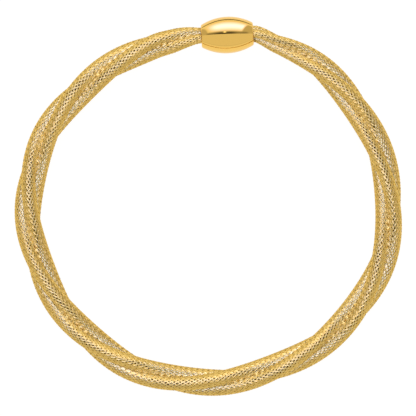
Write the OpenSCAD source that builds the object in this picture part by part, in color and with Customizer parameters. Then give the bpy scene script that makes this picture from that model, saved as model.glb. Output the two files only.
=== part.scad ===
/* [Loop] */
// Mean radius of the loop, to the middle of the twisted bundle
loop_r = 28.3; // [24:0.1:34]
// How far the bead's middle lies inside the loop's own line
bead_inset = 0.35; // [0:0.05:0.6]
// Direction from the loop's centre to the bead, counter-clockwise from +X
bead_azimuth = 83.4; // [0:0.1:180]
// How far the bead is turned out of line with the loop
bead_skew = 9.6; // [0:0.1:12]

/* [Mesh strands] */
// Outer diameter of one mesh strand, where its neighbours don't flatten it
strand_d = 2.37; // [2:0.01:2.8]
// Thickness of the braided wall of a strand
strand_wall = 0.25; // [0.15:0.01:0.4]
// How far neighbours press into a strand, as a share of its diameter
strand_press = 0.17; // [0.08:0.01:0.22]
// Space between the pressed faces of neighbouring strands
strand_gap = 0.05; // [0.04:0.01:0.12]
// Outer diameter of a strand where the bead squeezes it
squeezed_d = 1.46; // [1.3:0.01:1.7]
// Length over which the strands swell after the bead, where the loop starts
swell_start_l = 4; // [2:0.5:10]
// Length over which the strands swell before the bead, where the loop ends
swell_end_l = 8.8; // [2:0.1:12]
// How suddenly the strands swell where the loop starts, 1 is gradual from the mouth
swell_start_power = 1; // [1:0.1:2]
// How suddenly the strands swell where the loop ends
swell_end_power = 1.6; // [1:0.1:2]
// Space left in the middle of the bead between the two ends of a strand
strand_end_gap = 0.8; // [0.4:0.1:2]

/* [Twist] */
// Turns that the bundle makes about its own middle in a full loop
twist_turns = 3.78; // [2:0.01:6]
// Where the first strand starts, measured from straight outwards, towards +Z
twist_start = -23; // [-180:1:180]
// How far the twist runs ahead opposite the bead and lags at it
twist_sway = 17; // [0:1:30]

/* [Bead] */
// Length of the bead along its bore
bead_l = 8.35; // [7:0.05:10]
// Largest diameter of the bead
bead_d = 5.9; // [5.2:0.05:7]
// Width of the rim around the bore, before its edge is rounded
bead_rim = 0.31; // [0.25:0.01:0.5]
// Radius of the rounded edge at each end of the bead
bead_edge_r = 0.3; // [0.15:0.01:0.35]
// Space between the squeezed strands and the bore
bore_gap = 0.05; // [0.03:0.01:0.1]
// Straight run of the strands past each mouth of the bore
mouth_run = 0.3; // [0.2:0.05:0.8]
// Length over which the bundle comes back to the loop's own line
line_ease_l = 4; // [2:0.5:8]
// How far the bundle bows inwards just past the bead, where the loop starts
start_bow = 0.3; // [0:0.05:0.8]
// Length of that bow
start_bow_l = 8; // [6:0.5:14]
// Length over which the bundle comes down from the bead to the table
drop_ease_l = 10; // [6:0.5:16]

/* [Hidden] */
strands = 3;
// Each strand is swept through rings of this many sides, this far apart
sides = 12;
ring_step = 2.1;
// The first rings past each mouth lie closer together
mouth_rings = 6;
mouth_ring_step = 0.9;
// How tightly a strand's round side turns into its flattened ones
press_power = 10;

// The loop's dents: [waves around the loop, share of loop_r, direction of a crest]
DENTS = [
    [1, 0.018, -39.0],
    [2, 0.019, 12.5],
    [3, 0.005, -50.0],
    [4, 0.008, -17.7],
];
WAVES = 0;
SHARE = 1;
CREST = 2;

// The radii of the bundle, for three soft strands of size d pressed together
function flat_at(d) = d * (1 - strand_press) / 2;
function pitch_r(d) = flat_at(d) / sin(180 / strands);
function bundle_r(d) = pitch_r(d) + d / 2;

bore_d = 2 * (bundle_r(squeezed_d) + bore_gap);
bead_end_d = bore_d + 2 * bead_rim;
bead_mid_z = bead_d / 2;
bead_half = bead_l / 2;

// The barrel curve of the bead: an arc through its widest point and its ends
barrel_rise = (bead_d - bead_end_d) / 2;
barrel_r = (bead_half ^ 2 + barrel_rise ^ 2) / (2 * barrel_rise);
barrel_mid = bead_d / 2 - barrel_r;
edge_at = bead_half - bead_edge_r;
edge_rise = barrel_mid + sqrt((barrel_r - bead_edge_r) ^ 2 - edge_at ^ 2);
edge_lean = asin(edge_at / (barrel_r - bead_edge_r));

function direction(a) = [cos(a), sin(a)];
function smooth(x) = let (t = min(1, max(0, x))) t * t * (3 - 2 * t);
function mix(a, b, share) = a + (b - a) * share;
function arc_mm(degrees) = loop_r * degrees * PI / 180;

// The loop's own line, at azimuth a
function total(list, i = 0) = i < len(list) ? list[i] + total(list, i + 1) : 0;
function free_r(a) = loop_r * (1 + total([for (d = DENTS) d[SHARE] * cos(d[WAVES] * (a - d[CREST]))]));

// The bead's place and heading, and where the straight run past each mouth ends
bead_heading = bead_azimuth + 90 + bead_skew;
bead_mid = (free_r(bead_azimuth) - bead_inset) * direction(bead_azimuth);
run_half = bead_half + mouth_run;
start_xy = bead_mid + run_half * direction(bead_heading);
end_xy = bead_mid - run_half * direction(bead_heading);
start_a = atan2(start_xy.y, start_xy.x);
end_a = atan2(end_xy.y, end_xy.x) + 360;
start_off = norm(start_xy) - free_r(start_a);
end_off = norm(end_xy) - free_r(end_a);

// The bundle's line outside the bead, at azimuth a
function from_start(a) = arc_mm(a - start_a);
function from_end(a) = arc_mm(end_a - a);
function from_bead(a) = min(from_start(a), from_end(a));
function bow(x, l) = sin(180 * min(1, max(0, x / l))) ^ 2;
function line_r(a) = free_r(a) - start_bow * bow(from_start(a), start_bow_l)
    + start_off * (1 - smooth(from_start(a) / line_ease_l))
    + end_off * (1 - smooth(from_end(a) / line_ease_l));
function line_xy(a) = line_r(a) * direction(a);
function line_heading(a) = let (d = 0.5, v = line_xy(a + d) - line_xy(a - d)) atan2(v.y, v.x);
function line_z(a) = mix(bead_mid_z, bundle_r(strand_d), smooth(from_bead(a) / drop_ease_l));

// The size of a strand, swelling from the squeezed size at the bead
function swell(x, l, power) = 1 - exp(-(max(0, x) / l) ^ power);
function strand_size(a) = mix(squeezed_d, strand_d, min(
    swell(from_start(a), swell_start_l, swell_start_power),
    swell(from_end(a), swell_end_l, swell_end_power)));

// The turn of strand k about the bundle's middle, at azimuth a
function turn(k, a) = let (t = a - bead_azimuth)
    twist_start + 360 * k / strands + twist_turns * t - twist_sway * cos(t);

// The stations of the sweep: [middle of the bundle, heading, turn angle, strand size]
function bead_station(k, x, a) = [
    [each bead_mid + x * direction(bead_heading), bead_mid_z], bead_heading, turn(k, a), squeezed_d];
function line_station(k, a) = [
    [each line_xy(a), line_z(a)], line_heading(a), turn(k, a), strand_size(a)];
fine_a = mouth_ring_step / arc_mm(1);
fine_span = mouth_rings * fine_a;
long_count = ceil(arc_mm(end_a - start_a - 2 * fine_span) / ring_step);
long_a = (end_a - start_a - 2 * fine_span) / long_count;
function stations(k) = [
    bead_station(k, strand_end_gap / 2, start_a),
    bead_station(k, run_half, start_a),
    for (i = [1:mouth_rings]) line_station(k, start_a + i * fine_a),
    for (i = [1:long_count - 1]) line_station(k, start_a + fine_span + i * long_a),
    for (i = [mouth_rings:-1:1]) line_station(k, end_a - i * fine_a),
    bead_station(k, -run_half, end_a),
    bead_station(k, -strand_end_gap / 2, end_a),
];

// How far a strand's outside is from its middle, at angle phi from straight outwards:
// a circle, flattened towards its two neighbours
function towards(phi, side) = max(0, cos(phi - side * (90 + 180 / strands)));
function section_r(d, phi) = let (flat = flat_at(d) - strand_gap / 2) pow(
    pow(2 / d, press_power)
    + pow(towards(phi, 1) / flat, press_power)
    + pow(towards(phi, -1) / flat, press_power), -1 / press_power);

// A ring of points round a strand's middle, at a depth under its outside
function ring(s, depth) = let (mid = s[0], psi = s[2], d = s[3], out = direction(s[1] - 90))
    [for (j = [0:sides - 1]) let (
        phi = 360 * j / sides,
        r = section_r(d, phi) - depth,
        x = pitch_r(d) * cos(psi) + r * cos(psi + phi),
        z = pitch_r(d) * sin(psi) + r * sin(psi + phi))
        [mid.x + x * out.x, mid.y + x * out.y, mid.z + z]];

// The triangles between rings, and between the outside and the inside at each end
function split(a, b, c, d) = [[a, b, c], [a, c, d]];
function skin(count, first, flip) = [
    for (i = [0:count - 2], j = [0:sides - 1]) let (
        p = first + i * sides + j,
        q = first + i * sides + (j + 1) % sides)
        each flip ? split(p, p + sides, q + sides, q) : split(p, q, q + sides, p + sides)];
function rim(outer, inner, flip) = [
    for (j = [0:sides - 1]) let (
        n = (j + 1) % sides)
        each flip ? split(outer + j, inner + j, inner + n, outer + n)
                  : split(outer + j, outer + n, inner + n, inner + j)];

module strand(k) {
    path = stations(k);
    count = len(path);
    hole = count * sides;
    last = (count - 1) * sides;
    points = [
        for (s = path) each ring(s, 0),
        for (s = path) each ring(s, strand_wall),
    ];
    faces = [
        each skin(count, 0, false),
        each skin(count, hole, true),
        each rim(0, hole, true),
        each rim(last, hole + last, false),
    ];
    color([0.85, 0.69, 0.35])
        polyhedron(points, faces, convexity = 10);
}

// Half section of the bead, x outwards from the bore's axis and y along it
module bead_section() {
    far = bead_d;
    intersection() {
        translate([barrel_mid, 0])
            circle(r = barrel_r, $fn = 240);
        polygon([
            [0, -edge_at], [edge_rise, -edge_at],
            [edge_rise + far * cos(edge_lean), -edge_at - far * sin(edge_lean)],
            [edge_rise + far * cos(edge_lean), edge_at + far * sin(edge_lean)],
            [edge_rise, edge_at], [0, edge_at],
        ]);
    }
    translate([0, -bead_half])
        square([edge_rise, bead_l]);
    for (side = [-1, 1])
        translate([edge_rise, side * edge_at])
            circle(r = bead_edge_r, $fn = 48);
}

module bead() {
    color([0.93, 0.74, 0.36])
        translate([each bead_mid, bead_mid_z])
            rotate([0, 90, bead_heading])
                difference() {
                    rotate_extrude($fn = 128)
                        bead_section();
                    cylinder(d = bore_d, h = 2 * bead_l, center = true, $fn = 96);
                }
}

module strand_1() strand(0);
module strand_2() strand(1);
module strand_3() strand(2);

bead();
strand_1();
strand_2();
strand_3();
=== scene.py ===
"""A twisted mesh bracelet: three tubes of braided gold wire, gathered in one polished barrel bead.

Lengths are in millimetres, and become metres where a mesh is made. Azimuths are in degrees.
"""

import math

import bpy
import numpy as np
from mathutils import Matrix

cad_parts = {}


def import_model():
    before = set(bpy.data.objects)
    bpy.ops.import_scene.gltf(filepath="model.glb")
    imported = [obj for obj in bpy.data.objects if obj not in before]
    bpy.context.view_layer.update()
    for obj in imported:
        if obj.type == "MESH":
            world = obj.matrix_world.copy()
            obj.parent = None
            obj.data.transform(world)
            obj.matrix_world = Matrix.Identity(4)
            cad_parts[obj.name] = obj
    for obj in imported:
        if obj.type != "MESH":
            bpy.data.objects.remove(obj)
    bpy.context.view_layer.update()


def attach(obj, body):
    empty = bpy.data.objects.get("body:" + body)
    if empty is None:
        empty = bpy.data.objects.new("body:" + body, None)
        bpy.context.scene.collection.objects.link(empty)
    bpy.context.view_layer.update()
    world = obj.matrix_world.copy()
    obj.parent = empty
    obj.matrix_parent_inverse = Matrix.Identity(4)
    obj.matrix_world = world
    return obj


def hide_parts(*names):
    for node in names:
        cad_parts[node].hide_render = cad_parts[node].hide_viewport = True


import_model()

MM = 0.001
UP = np.array([0, 0, 1.0])

# Sizes that are the same as the solids'
LOOP_R = 28.3
BEAD_INSET = 0.35
BEAD_AZIMUTH = 83.4
BEAD_SKEW = 9.6
STRANDS = 3
STRAND_D = 2.37
STRAND_PRESS = 0.17
SQUEEZED_D = 1.46
STRAND_END_GAP = 0.8
TWIST_TURNS = 3.78
TWIST_START = -23.0
TWIST_SWAY = 17.0
BEAD_L = 8.35
BEAD_D = 5.9
BEAD_RIM = 0.31
BEAD_EDGE_R = 0.3
BORE_GAP = 0.05
MOUTH_RUN = 0.3
LINE_EASE_L = 4.0
START_BOW = 0.3
START_BOW_L = 8.0
DROP_EASE_L = 10.0
# How the strands swell past the bead, where the loop starts and ends: (length, power)
SWELL_START = (4.0, 1.0)
SWELL_END = (8.8, 1.6)
# The loop's dents: (waves around the loop, share of its radius, direction of a crest)
DENTS = ((1, 0.018, -39.0), (2, 0.019, 12.5), (3, 0.005, -50.0), (4, 0.008, -17.7))

# How tightly a strand's round side turns into its flats, which touch its neighbours'
PRESS_POWER = 40
# How finely a strand's middle line is sampled
LINE_STEP = 0.1

# The braid: yarns each way round, wires side by side in each, and its diamonds' length and width
YARNS = 14
WIRES = 2
CELL_L = 0.93
CELL_W = 0.50
# A wire's width and thickness, and how far it rises and dips at a crossing, where the braid is closed and
# where it is opened
CLOSED_WIRE = (0.20, 0.06, 0.032)
OPENED_WIRE = (0.115, 0.06, 0.036)
# A wire's section: the angle of each vertex, from its left over its outer side, and those that look inwards
WIRE_SIDES = 6
WIRE_ANGLES = 2 * np.pi * np.arange(WIRE_SIDES) / WIRE_SIDES
INWARDS = np.sin(WIRE_ANGLES) < -0.5
# The braid is opened along the top and bottom of a strand, and closed this far round from there, in degrees
CLOSED_AT = 34.0
# How far its bottom is opened, as a share of its top
BOTTOM_OPEN = 0.95
# How much more it is opened where the strand lies beside the others, not on or under them
SIDE_OPEN = 0.55
# How the opened band wanders to either side along the strand, and how its reach varies: each is a share, the
# length along the strand for a radian of its wave, and its lag from one strand to the next
WANDERS = ((0.13, 3.7, 2.1), (0.08, 1.3, 1.0))
REACH_WAVE = (0.3, 2.3, 1.3)
# How far the yarns sway out of their even places, as an angle round the strand, and the sway's phase from one
# crossing and from one yarn to the next
SWAY = 0.024
SWAY_ALONG = 0.7
SWAY_ROUND = 2.4
# The grooves between strands, where the wires get painted light against the shade there: from and to
# these angles round a strand from straight outwards
VALLEY_FROM = 92.0
VALLEY_TO = 116.0

# How strong the painted highlight on a wire is where another crosses over it, as a share of one that
# lies on top
UNDER_TOP = 0.85
# How far past the middle of a wire its pale ridge, a painted highlight, reaches, and over how much it
# fades, as shares of half its width
RIDGE_FROM = 0.35
RIDGE_SPAN = 0.95
# How strong the painted highlight on the ridges and the painted shade on the other sides are where the
# braid is closed, as shares
FLANK_HIGHLIGHT = 0.26
FLANK_SHADE = 0.38

# The bead's mesh: points along its barrel, round each edge and lip and along its bore, and round it
BARREL_POINTS = 97
EDGE_POINTS = 15
LIP_POINTS = 6
BORE_POINTS = 9
BEAD_SIDES = 192
# Radius of the lip where the bore meets the end
LIP_R = 0.04
# Edges of the bead that turn by more than this stay sharp, in degrees
SHARP_ANGLE = 40

# Linear colours
GOLD = (0.74, 0.485, 0.105, 1)
LIGHT_GOLD = (0.82, 0.565, 0.15, 1)
# Painted shade on the wires' sides and undersides
SHADE_GOLD = (0.42, 0.235, 0.015, 1)
# A painted highlight along the wires' ridges
HIGHLIGHT_GOLD = (0.95, 0.85, 0.47, 1)
# Painted light on the wires in the grooves between strands, against the shade there
VALLEY_LIGHT_GOLD = (0.95, 0.85, 0.50, 1)
BEAD_GOLD = (0.88, 0.55, 0.13, 1)
# The wires' colour seen almost edge on
EDGE_TINT = (1.0, 0.80, 0.45, 1)
WHITE = (1, 1, 1, 1)
FLOOR_GREY = (0.15, 0.15, 0.15, 1)
# A painted reflection of the gold's warm light, in the floor's glow near the bracelet
FLOOR_GOLD_REFLECTION = (1, 0.90, 0.68, 1)
# The colour of the card that is a painted shadow
SHADOW_CARD_GREY = (0.02, 0.02, 0.02, 1)
BEAD_LIGHT_BLUE = (0.07, 0.06, 1.0, 1)
TOP_LIGHT_COOL = (0.97, 1.0, 1.8, 1)
WIRE_ROUGHNESS = 0.16
BEAD_ROUGHNESS = (0.03, 0.06)
# Scale and detail of the noise that varies the wires' colour and the bead's polish
WIRE_NOISE = (900, 3)
BEAD_NOISE = (350, 4)

# The floor glows softly, but not under the bundle, which leaves a painted shadow there: how far from its
# line the glow starts, and is full, as shares of the bundle's radius
SHUT_AT = 0.05
OPEN_AT = 0.35
# Between these shares a painted reflection of the gold's warm light on the floor fades out
WARM_AT = 0.6
CLEAR_AT = 0.73
FLOOR_GLOW = 0.92
FLOOR_SECTORS = 240
FLOOR_MIDDLE = 0.01
FLOOR_R = 1500

# Lights, as shares of a plain white wall's
ROOM_LIGHT = 0.62
CARD_LIGHT = 0.24
BEHIND_LIGHT = 0.4
SOFTBOX_LIGHT = 0.8
BEAD_LIGHT = 4.4
DOT_LIGHT = 6.0
TOP_LIGHT = 2.5
LOW_LIGHT = 0.33
# The faint glow of the card that is a painted shadow
SHADOW_CARD_LIGHT = 0.15
# How much of the light the gap in front of the softbox takes away
DARK_GAP = 0.9

# Where they are. A tilt is in degrees from straight up towards +Y, a lean is how far a direction leans to +X
# of that, and a side is a lean either way. Each pair is a smooth step, from nothing to full.
CARD_TILTS = ((-73, -71), (7, 4.5))
CARD_SIDE = (2.6, 2.2)
BEHIND_TILTS = ((12, 30), (125, 95))
BEHIND_LEANS = ((0.74, 0.58), (-1.12, -0.95))
LOW_TILT = (-73.5, -75.5)
SOFTBOX_LEANS = ((0.72, 0.55), (-1.0, -0.32))
DARK_TILTS = ((4.5, 7), (31, 10))
DARK_LEANS = ((0.5, 0.1), (-0.8, -0.2))
DARK_SIDE = (1.3, 0.9)
# The share of the dark gap that is as wide as DARK_SIDE, the rest being as narrow as DARK_LEANS
DARK_WIDE = 0.6
TOP_TILTS = ((-18, 2), (42, 20))
TOP_LEAN = -0.12
TOP_OFF = (0.5, 0.1)
BEAD_LIGHT_TILT = (14, 34)
# These are brightest at the first number, and fall off over the second
SOFTBOX_TILT = (58, 24)
DOT_TILT = (17, 3.0)
DOT_LEAN = (-0.107, 0.05)
# The domes: their radius, the points along their tilt and lean, and the tilts and leans that they span
DOME_R = 400.0
DOME_TILTS = 20
DOME_LEANS = 24
BEAD_DOME = ((8, 90), (-50, 50))
TOP_DOME = ((-25, 45), (-38, 28))
# The dark card, a painted shadow: left, right, near and far, from the bead's middle, and its height
SHADOW_CARD = (-18.0, 13.0, 11.5, 18.0)
SHADOW_CARD_Z = 0.02

# The photograph's width, where its middle lies from the loop's, and the camera's distance from this height
FRAME = 416 * 0.16
FRAME_XY = (0.08, -0.32)
FOCUS_Z = 2.3
DISTANCE = 1000.0
SENSOR = 36


# The bundle's line
def unit(v):
    return v / np.linalg.norm(v, axis=-1, keepdims=True)


def flat_at(d):
    return d * (1 - STRAND_PRESS) / 2


def pitch_r(d):
    return flat_at(d) / math.sin(math.pi / STRANDS)


def bundle_r(d):
    return pitch_r(d) + d / 2


def direction(a):
    return np.stack([np.cos(np.radians(a)), np.sin(np.radians(a))], -1)


def smooth(x):
    t = np.clip(x, 0, 1)
    return t * t * (3 - 2 * t)


def free_r(a):
    return LOOP_R * (1 + sum(s * np.cos(np.radians(w * (a - c))) for w, s, c in DENTS))


BEAD_HEADING = BEAD_AZIMUTH + 90 + BEAD_SKEW
BEAD_MID = (free_r(BEAD_AZIMUTH) - BEAD_INSET) * direction(BEAD_AZIMUTH)
BEAD_AXIS = direction(BEAD_HEADING)
RUN_HALF = BEAD_L / 2 + MOUTH_RUN
START_XY = BEAD_MID + RUN_HALF * BEAD_AXIS
END_XY = BEAD_MID - RUN_HALF * BEAD_AXIS
START_A = math.degrees(math.atan2(START_XY[1], START_XY[0]))
END_A = math.degrees(math.atan2(END_XY[1], END_XY[0])) + 360
START_OFF = np.hypot(*START_XY) - free_r(START_A)
END_OFF = np.hypot(*END_XY) - free_r(END_A)


def from_start(a):
    return LOOP_R * np.radians(a - START_A)


def from_end(a):
    return LOOP_R * np.radians(END_A - a)


def line_xy(a):
    bow = START_BOW * np.sin(np.pi * np.clip(from_start(a) / START_BOW_L, 0, 1)) ** 2
    r = (
        free_r(a)
        - bow
        + START_OFF * (1 - smooth(from_start(a) / LINE_EASE_L))
        + END_OFF * (1 - smooth(from_end(a) / LINE_EASE_L))
    )
    return r[..., None] * direction(a)


def line_heading(a):
    v = line_xy(a + 0.5) - line_xy(a - 0.5)
    return np.degrees(np.arctan2(v[..., 1], v[..., 0]))


def line_z(a):
    near = np.minimum(from_start(a), from_end(a))
    drop = smooth(near / DROP_EASE_L)
    return BEAD_D / 2 + (bundle_r(STRAND_D) - BEAD_D / 2) * drop


def strand_size(a):
    ends = ((from_start(a), SWELL_START), (from_end(a), SWELL_END))
    swell = [1 - np.exp(-((np.maximum(0, x) / length) ** power)) for x, (length, power) in ends]
    return SQUEEZED_D + (STRAND_D - SQUEEZED_D) * np.minimum(*swell)


def turn(k, a):
    t = a - BEAD_AZIMUTH
    return (
        TWIST_START + 360 * k / STRANDS + TWIST_TURNS * t - TWIST_SWAY * np.cos(np.radians(t))
    )


def section_r(d, phi):
    """How far a strand's outside is from its middle, at angle phi from straight outwards."""
    lean = math.pi / 2 + math.pi / STRANDS
    total = (2 / d) ** PRESS_POWER
    for side in (1, -1):
        towards = np.maximum(0, np.cos(phi - side * lean))
        total = total + (towards / flat_at(d)) ** PRESS_POWER
    return total ** (-1 / PRESS_POWER)


class Strand:
    """The middle line of strand k, from one mouth of the bead round to the other: its points, the way out of
    the loop, the strand's size and its turn about the bundle there, and the braid's crossings so far."""

    def __init__(self, k):
        x1 = np.arange(STRAND_END_GAP / 2, RUN_HALF, LINE_STEP)
        x2 = -x1[::-1]
        a = np.linspace(START_A, END_A, int(from_start(END_A) / LINE_STEP) + 1)

        def all_along(at_start, outside, at_end):
            return np.concatenate([np.full(len(x1), at_start), outside, np.full(len(x2), at_end)])

        heading = all_along(BEAD_HEADING, line_heading(a), BEAD_HEADING)
        z = all_along(BEAD_D / 2, line_z(a), BEAD_D / 2)
        xy = np.concatenate([BEAD_MID + x1[:, None] * BEAD_AXIS, line_xy(a), BEAD_MID + x2[:, None] * BEAD_AXIS])
        self.d = all_along(SQUEEZED_D, strand_size(a), SQUEEZED_D)
        self.psi = np.radians(all_along(turn(k, START_A), turn(k, a), turn(k, END_A)))
        side = direction(heading - 90)
        self.out = np.concatenate([side, np.zeros((len(side), 1))], 1)
        r = pitch_r(self.d)
        self.mid = np.concatenate([xy, z[:, None]], 1) + (r * np.cos(self.psi))[:, None] * self.out
        self.mid[:, 2] += r * np.sin(self.psi)
        step = np.linalg.norm(np.diff(self.mid, axis=0), axis=1)
        self.s = np.concatenate([[0], np.cumsum(step)])
        # each side of a diamond of the braid keeps its length, so a squeezed strand has longer diamonds
        edge = math.hypot(CELL_L, CELL_W) / 2
        half_w = math.pi * (self.d - 2 * CLOSED_WIRE[2]) / YARNS / 2
        half_l = np.sqrt(edge**2 - np.minimum(half_w, 0.9 * edge) ** 2)
        rate = 1 / half_l
        self.crossings = np.concatenate([[0], np.cumsum((rate[1:] + rate[:-1]) / 2 * step)])

    def at_crossings(self):
        """The number of each crossing, how far along it is, and the middle, way out, size and turn there."""
        m = np.arange(int(self.crossings[-1]) + 1)
        s = np.interp(m, self.crossings, self.s)

        def pick(v):
            return np.stack([np.interp(s, self.s, v[:, i]) for i in range(3)], -1)

        return m, s, pick(self.mid), pick(self.out), np.interp(s, self.s, self.d), np.interp(s, self.s, self.psi)


# The braid
def tube_mesh(lines, normals, widths, heights):
    """Vertices and quads of closed wires: lines is (wires, points, 3), normals the way out at each point, and
    widths and heights the oval section there."""
    bars, count, _ = lines.shape
    t = unit(np.gradient(lines, axis=1))
    b = unit(np.cross(normals, t))
    n = np.cross(t, b)
    across = (widths[..., None] / 2 * np.cos(WIRE_ANGLES))[..., None]
    out = (heights[..., None] / 2 * np.sin(WIRE_ANGLES))[..., None]
    points = (lines[:, :, None, :] + across * b[:, :, None, :] + out * n[:, :, None, :]).reshape(-1, 3)
    first = (np.arange(bars)[:, None] * count + np.arange(count - 1)[None, :])[..., None] * WIRE_SIDES
    j = np.arange(WIRE_SIDES)
    nxt = (j + 1) % WIRE_SIDES
    far = first + WIRE_SIDES
    quads = np.stack([first + j, first + nxt, far + nxt, far + j], -1).reshape(-1, 4)
    base = np.arange(bars)[:, None] * count * WIRE_SIDES
    far = base + (count - 1) * WIRE_SIDES
    ends = []
    for i in range(WIRE_SIDES // 2 - 1):
        cap = np.array([i, i + 1, WIRE_SIDES - 2 - i, WIRE_SIDES - 1 - i])
        ends += [base + cap[::-1], far + cap]
    return points, np.concatenate([quads, *ends])


def wave(s, k, size, length, lag):
    """A wave along strand k, s along it."""
    return size * np.sin(s / length + lag * k)


def opened(theta, s, k):
    """How far the braid is opened at an angle round strand k, s along it: 1 at its top and 0 on its sides. The
    opened band wanders a little to either side, and is now wider, now narrower, as in a mesh laid by hand."""
    off = np.cos(theta) + sum(wave(s, k, *each) for each in WANDERS)
    reach = math.sin(math.radians(CLOSED_AT)) * (1 + wave(s, k, *REACH_WAVE))
    return (1 - smooth(np.abs(off) / reach)) * np.where(np.sin(theta) > 0, 1.0, BOTTOM_OPEN)


def painted_valley_light(phi):
    """1 where a strand meets its neighbours, at angle phi from straight outwards, and 0 on its other sides:
    there the wires get painted light, against the shade that falls between strands.
    """
    from_out = np.degrees(np.abs(np.angle(np.exp(1j * phi))))
    return smooth((from_out - VALLEY_FROM) / (VALLEY_TO - VALLEY_FROM))


def ridge(w):
    """How pale each vertex of the section of wire w is, as a painted highlight: most towards its yarn's
    middle, and none inwards.
    """
    inner = np.cos(WIRE_ANGLES) * (1 - 2 * w)
    return np.clip((inner + RIDGE_FROM) / RIDGE_SPAN, 0, 1) * ~INWARDS


def braid(k, way):
    """Vertices and quads of the wires that run one way round strand k, and the shades of the vertices: a
    painted highlight, painted shade and painted light between strands. They go over and under those that run
    the other way in turn."""
    m, s, mid, out, d, psi = Strand(k).at_crossings()
    over = np.where((m % 2 == 0) == (way == 1), 1, -1)
    # Where another wire crosses over, the painted highlight is weaker
    crossed = np.where(over > 0, 1.0, UNDER_TOP)[:, None]
    wires = []
    for i in range(YARNS):
        sway = SWAY * np.sin(SWAY_ALONG * m + SWAY_ROUND * i + k)
        theta = 2 * np.pi * (i / YARNS + way * m / (2 * YARNS)) + sway
        radial = np.cos(theta)[:, None] * out + np.sin(theta)[:, None] * UP
        opens = opened(theta, s, k)
        stretch = opens * (1 + SIDE_OPEN * np.abs(np.cos(psi)))
        width, height, lift = (c + (o - c) * stretch for c, o in zip(CLOSED_WIRE, OPENED_WIRE))
        width = width * (d / STRAND_D)
        r = section_r(d, theta - psi) - height / 2 - lift + lift * over
        line = mid + r[:, None] * radial
        across = np.cross(radial, unit(np.gradient(line, axis=0)))
        for w in range(WIRES):
            off = (w - (WIRES - 1) / 2) * width
            line_w = line + off[:, None] * across
            wires.append((line_w, radial, width, height, opens, crossed * ridge(w), painted_valley_light(theta - psi)))
    lines, normals, widths, heights, opens, lit, painted_valley_lights = map(np.array, zip(*wires))
    opens = opens[..., None]
    # The painted highlight and the painted shade are strongest where the braid is opened
    highlight_strength = FLANK_HIGHLIGHT + (1 - FLANK_HIGHLIGHT) * opens
    shade_strength = FLANK_SHADE + (1 - FLANK_SHADE) * opens
    # Shades: painted highlight on ridges, painted shade on other and inner sides, painted light between strands
    shades = {
        "top": (highlight_strength * lit).ravel(),
        "depth": np.maximum(shade_strength * (1 - lit), INWARDS).ravel(),
        "painted_valley_light": np.repeat(painted_valley_lights, WIRE_SIDES),
    }
    return *tube_mesh(lines, normals, widths, heights), shades


def new_mesh(name, points, quads, shades=None):
    """An object of quads, with an attribute of its vertices for each shade."""
    mesh = bpy.data.meshes.new(name)
    mesh.vertices.add(len(points))
    mesh.vertices.foreach_set("co", (points * MM).astype(np.float32).ravel())
    mesh.loops.add(quads.size)
    mesh.loops.foreach_set("vertex_index", quads.astype(np.int32).ravel())
    mesh.polygons.add(len(quads))
    mesh.polygons.foreach_set("loop_start", np.arange(0, quads.size, 4, dtype=np.int32))
    mesh.polygons.foreach_set("use_smooth", np.ones(len(quads), bool))
    mesh.update(calc_edges=True)
    mesh.validate()
    for shade, values in (shades or {}).items():
        made = mesh.attributes.new(shade, "FLOAT", "POINT")
        made.data.foreach_set("value", values.astype(np.float32))
    obj = bpy.data.objects.new(name, mesh)
    bpy.context.scene.collection.objects.link(obj)
    return obj


# The bead
def bead_profile():
    """(along the bore, out from its axis) round the bead's wall, from one mouth round to it again."""
    bore_r = bundle_r(SQUEEZED_D) + BORE_GAP
    half = BEAD_L / 2
    end_r = bore_r + BEAD_RIM
    rise = BEAD_D / 2 - end_r
    barrel_r = (half**2 + rise**2) / (2 * rise)
    barrel_mid = BEAD_D / 2 - barrel_r
    edge_at = half - BEAD_EDGE_R
    edge_rise = barrel_mid + math.sqrt((barrel_r - BEAD_EDGE_R) ** 2 - edge_at**2)
    lean = math.asin(edge_at / (barrel_r - BEAD_EDGE_R))

    def arc(x, r, radius, angles):
        return [(x + radius * math.sin(t), r + radius * math.cos(t)) for t in angles]

    outer = arc(0, barrel_mid, barrel_r, np.linspace(-lean, lean, BARREL_POINTS))
    edge = arc(edge_at, edge_rise, BEAD_EDGE_R, np.linspace(lean, math.pi / 2, EDGE_POINTS)[1:])
    lip = arc(half - LIP_R, bore_r + LIP_R, LIP_R, np.linspace(math.pi / 2, math.pi, LIP_POINTS))
    bore = [(x, bore_r) for x in np.linspace(half - LIP_R, LIP_R - half, BORE_POINTS)[1:-1]]
    right = edge + lip
    left = [(-x, r) for x, r in reversed(right)]
    return np.array(left + outer + right + bore)


def bead_mesh():
    profile = bead_profile()
    count = len(profile)
    a = 2 * np.pi * np.arange(BEAD_SIDES) / BEAD_SIDES
    x_axis = np.array([*BEAD_AXIS, 0])
    y_axis = np.array([-BEAD_AXIS[1], BEAD_AXIS[0], 0])
    radial = np.cos(a)[:, None] * y_axis + np.sin(a)[:, None] * UP
    centre = np.array([*BEAD_MID, BEAD_D / 2])
    points = centre + profile[None, :, 0, None] * x_axis + profile[None, :, 1, None] * radial[:, None, :]
    i = np.arange(BEAD_SIDES)[:, None] * count
    n = (np.arange(BEAD_SIDES)[:, None] + 1) % BEAD_SIDES * count
    j = np.arange(count)[None, :]
    q = (j + 1) % count
    quads = np.stack([i + j, i + q, n + q, n + j], -1).reshape(-1, 4)
    return points.reshape(-1, 3), quads


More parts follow.
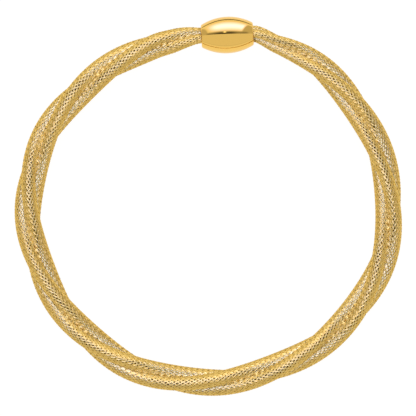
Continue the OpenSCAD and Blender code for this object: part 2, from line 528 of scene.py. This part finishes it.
# Materials
class Nodes:
    """Short ways to add nodes to a tree. A value is a number, a colour or another node's output."""

    def __init__(self, tree):
        self.tree = tree

    def new(self, kind, **values):
        node = self.tree.nodes.new("ShaderNode" + kind)
        for name, value in values.items():
            setattr(node, name, value)
        return node

    def put(self, value, socket):
        if isinstance(value, bpy.types.NodeSocket):
            self.tree.links.new(value, socket)
        else:
            socket.default_value = value

    def math(self, kind, *values):
        node = self.new("Math", operation=kind)
        for value, socket in zip(values, node.inputs):
            self.put(value, socket)
        return node.outputs[0]

    def times(self, *values):
        total = values[0]
        for value in values[1:]:
            total = self.math("MULTIPLY", total, value)
        return total

    def plus(self, *values):
        total = values[0]
        for value in values[1:]:
            total = self.math("ADD", total, value)
        return total

    def mix(self, share, a, b):
        node = self.new("Mix", data_type="RGBA")
        self.put(share, node.inputs["Factor"])
        self.put(a, node.inputs["A"])
        self.put(b, node.inputs["B"])
        return node.outputs["Result"]

    def attribute(self, name):
        return self.new("Attribute", attribute_name=name).outputs["Fac"]

    def noise(self, scale, detail):
        node = self.new("TexNoise")
        node.inputs["Scale"].default_value = scale
        node.inputs["Detail"].default_value = detail
        self.put(self.new("TexCoord").outputs["Object"], node.inputs["Vector"])
        return node.outputs["Fac"]


def material(name):
    made = bpy.data.materials.new(name)
    made.use_nodes = True
    tree = made.node_tree
    return made, Nodes(tree), tree.nodes["Principled BSDF"]


def gold_wire():
    """Bright wire: painted shade makes it deeper on its sides, a painted highlight paler on its ridges, and
    painted light paler where it is seen in the grooves between strands.
    """
    made, nodes, shader = material("gold_mesh")
    ramp = nodes.new("ValToRGB")
    low, high = ramp.color_ramp.elements
    low.position, low.color = 0.35, GOLD
    high.position, high.color = 0.65, LIGHT_GOLD
    nodes.put(nodes.noise(*WIRE_NOISE), ramp.inputs["Fac"])
    # Painted shade on the sides and undersides
    colour = nodes.mix(nodes.attribute("depth"), ramp.outputs["Color"], SHADE_GOLD)
    # A painted highlight along the ridges
    colour = nodes.mix(nodes.attribute("top"), colour, HIGHLIGHT_GOLD)
    # Painted light where the wires are seen between strands
    colour = nodes.mix(nodes.attribute("painted_valley_light"), colour, VALLEY_LIGHT_GOLD)
    nodes.put(colour, shader.inputs["Base Color"])
    shader.inputs["Metallic"].default_value = 1.0
    shader.inputs["Roughness"].default_value = WIRE_ROUGHNESS
    shader.inputs["Specular Tint"].default_value = EDGE_TINT
    return made


def polished_gold():
    made, nodes, shader = material("polished_gold")
    rough = nodes.new("MapRange")
    nodes.put(nodes.noise(*BEAD_NOISE), rough.inputs["Value"])
    rough.inputs["To Min"].default_value, rough.inputs["To Max"].default_value = BEAD_ROUGHNESS
    nodes.put(rough.outputs["Result"], shader.inputs["Roughness"])
    shader.inputs["Base Color"].default_value = BEAD_GOLD
    shader.inputs["Metallic"].default_value = 1.0
    return made


def pale_floor():
    made, nodes, shader = material("floor")
    shader.inputs["Base Color"].default_value = FLOOR_GREY
    shader.inputs["Roughness"].default_value = 0.9
    shader.inputs["Specular IOR Level"].default_value = 0.0
    # A painted reflection of the gold's warm light tints the glow near the bracelet
    tint = nodes.mix(nodes.attribute("clear"), FLOOR_GOLD_REFLECTION, WHITE)
    nodes.put(tint, shader.inputs["Emission Color"])
    # The glow stops under the bracelet, which leaves a painted shadow
    glow = nodes.times(nodes.attribute("glow_outside_shadow"), FLOOR_GLOW)
    nodes.put(glow, shader.inputs["Emission Strength"])
    return made


# Light
class Sky(Nodes):
    """Nodes that work out a strength from a direction, by its tilt, lean and side."""

    def __init__(self, tree, vector):
        super().__init__(tree)
        split = self.new("SeparateXYZ")
        self.put(vector, split.inputs["Vector"])
        x, y, z = (split.outputs[i] for i in range(3))
        self.tilt = self.times(self.math("ARCTAN2", y, z), 180 / math.pi)
        ahead = self.math("SQRT", self.plus(self.times(y, y), self.times(z, z)))
        self.lean = self.math("DIVIDE", x, self.math("MAXIMUM", ahead, 0.001))
        self.side = self.math("ABSOLUTE", self.lean)

    def step(self, value, low, high):
        """0 at low and 1 at high, smooth between; low may be above high."""
        node = self.new("MapRange", interpolation_type="SMOOTHSTEP")
        falls = low > high
        node.inputs["From Min"].default_value = min(low, high)
        node.inputs["From Max"].default_value = max(low, high)
        node.inputs["To Min"].default_value = float(falls)
        node.inputs["To Max"].default_value = float(not falls)
        self.put(value, node.inputs["Value"])
        return node.outputs["Result"]

    def band(self, value, one, other):
        """1 between two steps, and 0 outside them."""
        return self.times(self.step(value, *one), self.step(value, *other))

    def near(self, value, middle, width):
        """1 where value is middle, and falling off smoothly over width on either side."""
        away = self.math("DIVIDE", self.math("SUBTRACT", value, middle), width)
        return self.math("EXPONENT", self.times(away, away, -1))

    def softbox(self):
        """The big light behind the bead."""
        return self.times(self.near(self.tilt, *SOFTBOX_TILT), self.band(self.lean, *SOFTBOX_LEANS))


def world():
    made = bpy.data.worlds.new("studio")
    bpy.context.scene.world = made
    made.use_nodes = True
    tree = made.node_tree
    where = tree.nodes.new("ShaderNodeTexCoord")
    sky = Sky(tree, where.outputs["Generated"])
    card = sky.times(sky.band(sky.tilt, *CARD_TILTS), sky.step(sky.side, *CARD_SIDE))
    behind = sky.times(sky.band(sky.tilt, *BEHIND_TILTS), sky.band(sky.lean, *BEHIND_LEANS))
    low = sky.step(sky.tilt, *LOW_TILT)
    dot = sky.times(sky.near(sky.tilt, *DOT_TILT), sky.near(sky.lean, *DOT_LEAN))
    light = sky.plus(
        sky.times(card, CARD_LIGHT),
        sky.times(behind, BEHIND_LIGHT),
        sky.times(sky.softbox(), SOFTBOX_LIGHT),
        sky.times(low, LOW_LIGHT),
        sky.times(dot, DOT_LIGHT),
        ROOM_LIGHT,
    )
    wide = sky.times(sky.step(sky.side, *DARK_SIDE), DARK_WIDE)
    narrow = sky.times(sky.band(sky.lean, *DARK_LEANS), 1 - DARK_WIDE)
    dark = sky.times(sky.band(sky.tilt, *DARK_TILTS), sky.plus(wide, narrow))
    light = sky.times(light, sky.math("SUBTRACT", 1, sky.times(dark, DARK_GAP)))
    background = tree.nodes["Background"]
    sky.put(light, background.inputs["Strength"])
    background.inputs["Color"].default_value = WHITE


def dome(name, pieces, centre, tilts, leans, strength, colour):
    """A part of a dome that shines on some pieces alone, strength(sky) bright."""
    tilt = np.radians(np.linspace(*tilts, DOME_TILTS))[:, None]
    lean = np.radians(np.linspace(*leans, DOME_LEANS))[None, :]
    way = (np.sin(lean), np.cos(lean) * np.sin(tilt), np.cos(lean) * np.cos(tilt))
    points = DOME_R * np.stack(np.broadcast_arrays(*way), -1)
    i = np.arange(DOME_TILTS - 1)[:, None] * DOME_LEANS + np.arange(DOME_LEANS - 1)[None, :]
    quads = np.stack([i, i + 1, i + DOME_LEANS + 1, i + DOME_LEANS], -1).reshape(-1, 4)
    made = new_mesh(name, points.reshape(-1, 3), quads)
    made.location = [x * MM for x in centre]
    made.visible_camera = False
    made.visible_shadow = False
    skin = bpy.data.materials.new(name)
    skin.use_nodes = True
    skin.cycles.emission_sampling = "NONE"
    tree = skin.node_tree
    tree.nodes.clear()
    where = tree.nodes.new("ShaderNodeTexCoord")
    sky = Sky(tree, where.outputs["Object"])
    shine = sky.new("Emission")
    shine.inputs["Color"].default_value = colour
    sky.put(strength(sky), shine.inputs["Strength"])
    both = sky.new("AddShader")
    sky.put(sky.new("BsdfTransparent").outputs[0], both.inputs[0])
    sky.put(shine.outputs[0], both.inputs[1])
    sky.put(both.outputs[0], sky.new("OutputMaterial").inputs["Surface"])
    made.data.materials.append(skin)
    lit = bpy.data.collections.new(f"lit_by_{name}")
    for piece in pieces:
        lit.objects.link(piece)
    made.light_linking.receiver_collection = lit


def bead_light(bead):
    """The glare of the softbox in the bead's polish, blue because its red and green are full already."""
    def strength(sky):
        return sky.times(sky.softbox(), sky.step(sky.tilt, *BEAD_LIGHT_TILT), BEAD_LIGHT)

    dome("bead_light", [bead], (*BEAD_MID, BEAD_D / 2), *BEAD_DOME, strength, BEAD_LIGHT_BLUE)


def top_light(strands):
    """A small light above the loop, which only the tops of the wires catch."""
    def strength(sky):
        off = sky.math("ABSOLUTE", sky.plus(sky.lean, -TOP_LEAN))
        return sky.times(sky.band(sky.tilt, *TOP_TILTS), sky.step(off, *TOP_OFF), TOP_LIGHT)

    dome("top_light", strands, (0, 0, 0), *TOP_DOME, strength, TOP_LIGHT_COOL)


def floor_line(a):
    """How far the bundle's line is from the middle of the loop at azimuth a, and the bundle's radius there,
    through the bead too."""
    normal = direction(BEAD_HEADING - 90)
    through_bead = (BEAD_MID @ normal) / (direction(a) @ normal)
    around = np.where(a < START_A, a + 360, a)
    in_bead = around > END_A
    line = np.where(in_bead, through_bead, np.hypot(*line_xy(around).T))
    return line, bundle_r(np.where(in_bead, SQUEEZED_D, strand_size(around)))


def floor():
    """A round floor in rings, with two shades: the first falls from 1 to 0 under the bracelet, where its
    glow stops and leaves a painted shadow, and "clear" from 1 to 0 where a painted reflection of the gold's
    warm light tints its glow."""
    a = np.linspace(BEAD_AZIMUTH, BEAD_AZIMUTH + 360, FLOOR_SECTORS, endpoint=False)
    line, r = floor_line(a)
    shares = (-CLEAR_AT, -WARM_AT, -OPEN_AT, -SHUT_AT, SHUT_AT, OPEN_AT, WARM_AT, CLEAR_AT)
    radii = [FLOOR_MIDDLE + 0 * line, *(line + share * r for share in shares), FLOOR_R + 0 * line]
    values = {"glow_outside_shadow": (1, 1, 1, 1, 0, 0, 1, 1, 1, 1), "clear": (1, 1, 0, 0, 0, 0, 0, 0, 1, 1)}
    rings = [np.concatenate([x[:, None] * direction(a), 0 * a[:, None]], 1) for x in radii]
    i = np.arange(len(rings) - 1)[:, None] * FLOOR_SECTORS
    j = np.arange(FLOOR_SECTORS)[None, :]
    n = (j + 1) % FLOOR_SECTORS
    quads = np.stack([i + j, i + FLOOR_SECTORS + j, i + FLOOR_SECTORS + n, i + n], -1).reshape(-1, 4)
    shades = {name: np.repeat(each, FLOOR_SECTORS) for name, each in values.items()}
    made = new_mesh("floor", np.concatenate(rings), quads, shades)
    made.data.materials.append(pale_floor())


def painted_shadow_card():
    """A dark card that lies behind the bead, out of the camera's sight, and shows as a line in its polish: a
    painted shadow, standing in for the bead's shade on the floor behind it.
    """
    x, y = BEAD_MID
    left, right, near, far = SHADOW_CARD
    corners = [(left, near), (right, near), (right, far), (left, far)]
    points = np.array([[x + dx, y + dy, SHADOW_CARD_Z] for dx, dy in corners])
    card = new_mesh("painted_shadow_card", points, np.array([[0, 1, 2, 3]]))
    made, _, shader = material("painted_shadow_card")
    shader.inputs["Base Color"].default_value = SHADOW_CARD_GREY
    shader.inputs["Specular IOR Level"].default_value = 0.0
    shader.inputs["Emission Color"].default_value = WHITE
    shader.inputs["Emission Strength"].default_value = SHADOW_CARD_LIGHT
    card.data.materials.append(made)
    card.visible_camera = False
    card.visible_diffuse = False
    card.visible_shadow = False


def camera():
    """Straight above the loop, so far off that the height of the bead hardly shows."""
    data = bpy.data.cameras.new("camera")
    data.sensor_width = SENSOR
    data.lens = SENSOR * DISTANCE / FRAME
    data.clip_start, data.clip_end = 0.1, 10
    cam = bpy.data.objects.new("camera", data)
    cam.location = [v * MM for v in (*FRAME_XY, FOCUS_Z + DISTANCE)]
    bpy.context.scene.collection.objects.link(cam)
    bpy.context.scene.camera = cam


# The object
wire = gold_wire()
strands = []
for k in range(STRANDS):
    name = f"strand_{k + 1}"
    for way, wires in ((1, "left_wires"), (-1, "right_wires")):
        piece = new_mesh(f"{name}_{wires}", *braid(k, way))
        piece.data.materials.append(wire)
        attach(piece, "root")
        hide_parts(name)
        strands.append(piece)

bead = new_mesh("bead_polished", *bead_mesh())
bead.data.set_sharp_from_angle(angle=math.radians(SHARP_ANGLE))
bead.data.materials.append(polished_gold())
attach(bead, "root")
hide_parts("bead")

floor()
world()
bead_light(bead)
top_light(strands)
painted_shadow_card()
camera()
bpy.context.scene.view_settings.view_transform = "Standard"
bpy.context.scene.cycles.glossy_bounces = 12
